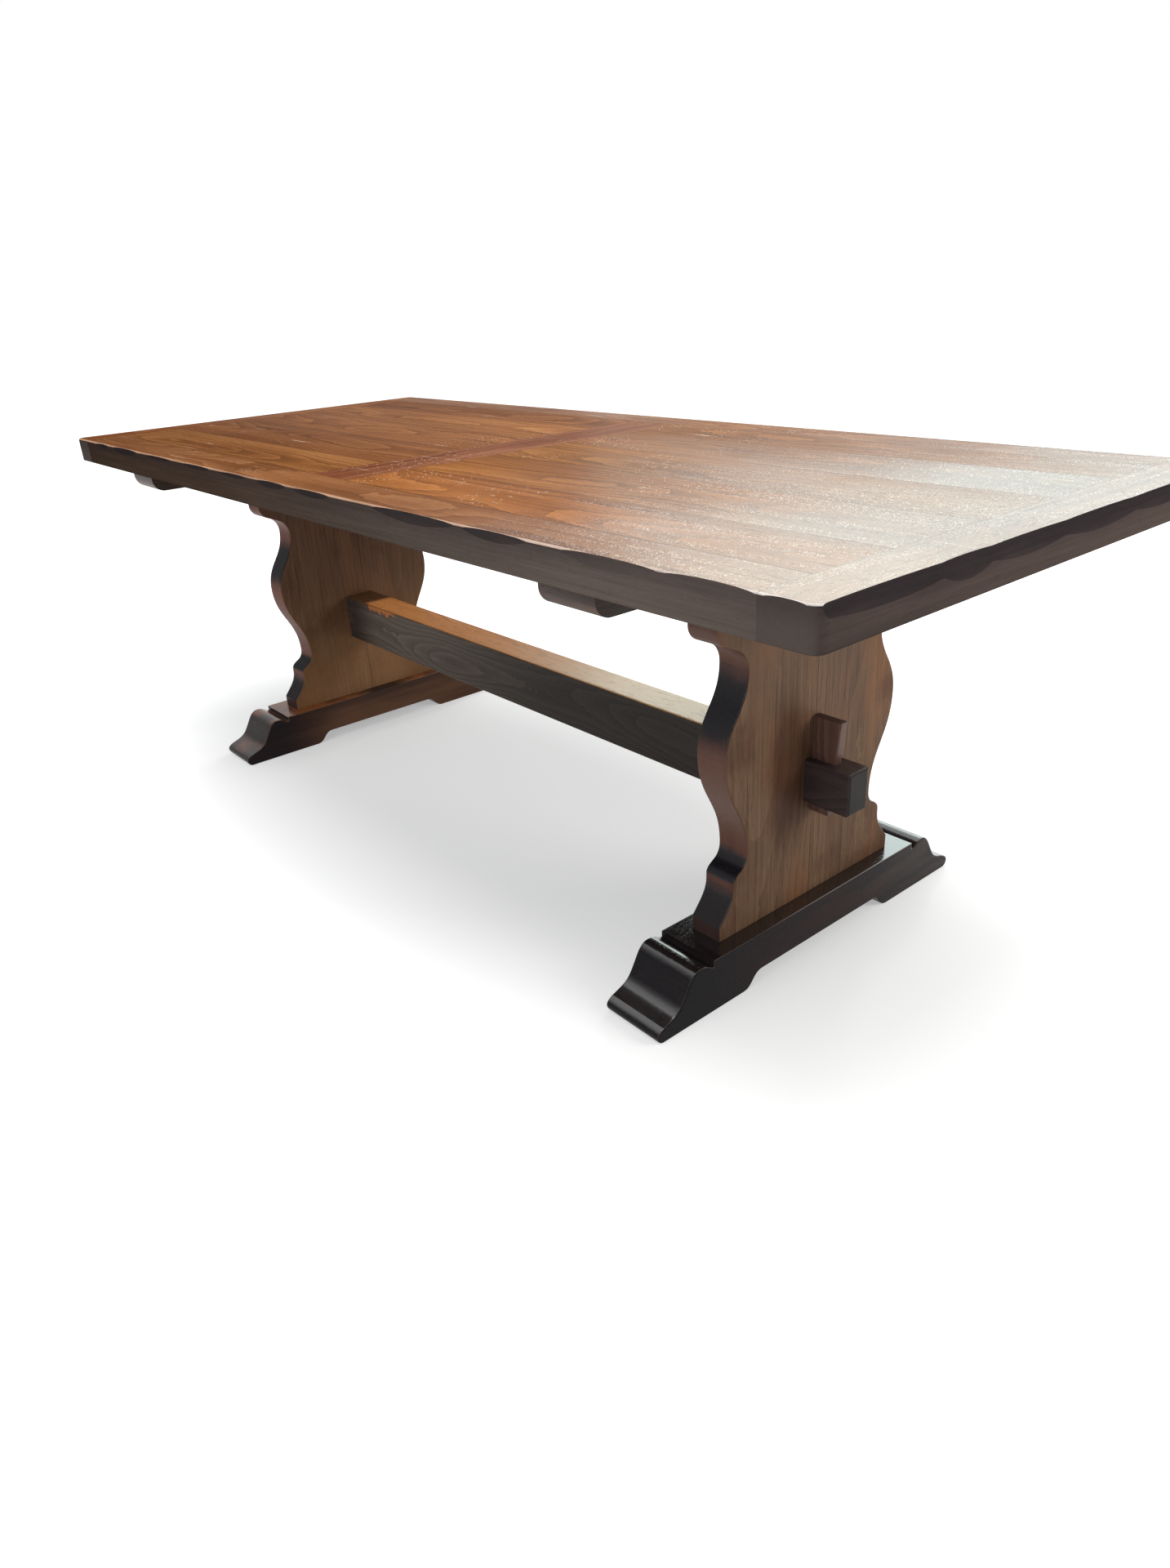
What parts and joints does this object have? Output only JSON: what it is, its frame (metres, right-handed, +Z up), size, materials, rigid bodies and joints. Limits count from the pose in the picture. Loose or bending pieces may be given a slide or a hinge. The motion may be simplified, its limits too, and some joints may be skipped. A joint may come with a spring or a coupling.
{
  "type": "monastery table",
  "caption": "Oak trestle table with a framed plank top, lyre-shaped end panels on sledge feet, and a stretcher keyed through the panels with tusk wedges.",
  "frame": {"origin": "on the floor under the centre of the top", "axes": "+X along the length to the right as seen from the front, +Y from front to back, +Z up"},
  "size_m": [2.26, 0.95, 0.77],
  "materials": {
    "top_oak": "glossy varnish",
    "end_oak": "glossy varnish",
    "panel_oak": "satin varnish",
    "dark_oak": "satin varnish",
    "stretcher_oak": "satin varnish",
    "wedge_oak": "satin varnish",
    "raw_oak": "bare",
    "screw_steel": "plain"
  },
  "bodies": {
    "table": {"side_rail_front": "top_oak", "side_rail_back": "top_oak", "middle_rail": "top_oak", "plank_left_1": "top_oak", "plank_left_2": "top_oak", "plank_left_3": "top_oak", "plank_left_4": "top_oak", "plank_left_5": "top_oak", "plank_right_1": "top_oak", "plank_right_2": "top_oak", "plank_right_3": "top_oak", "plank_right_4": "top_oak", "plank_right_5": "top_oak", "end_board_left": "end_oak", "end_board_right": "end_oak", "panel_left_front_board": "panel_oak", "panel_left_back_board": "panel_oak", "panel_right_front_board": "panel_oak", "panel_right_back_board": "panel_oak", "foot_left": "dark_oak", "foot_right": "dark_oak", "bearer_left": "dark_oak", "bearer_right": "dark_oak", "stretcher": "stretcher_oak", "plank_tongues_left": "raw_oak", "plank_tongues_right": "raw_oak", "panel_tongues_left": "raw_oak", "panel_tongues_right": "raw_oak", "bearer_screws_left": "screw_steel", "bearer_screws_right": "screw_steel"},
    "wedge_left": {"wedge_left": "wedge_oak"},
    "wedge_right": {"wedge_right": "wedge_oak"}
  },
  "joints": [
    {"name": "wedge_left_slide", "type": "slide", "parent": "table", "child": "wedge_left", "axis": [0, 0, 1], "range_m": [0, 0.1]},
    {"name": "wedge_right_slide", "type": "slide", "parent": "table", "child": "wedge_right", "axis": [0, 0, 1], "range_m": [0, 0.1]}
  ]
}
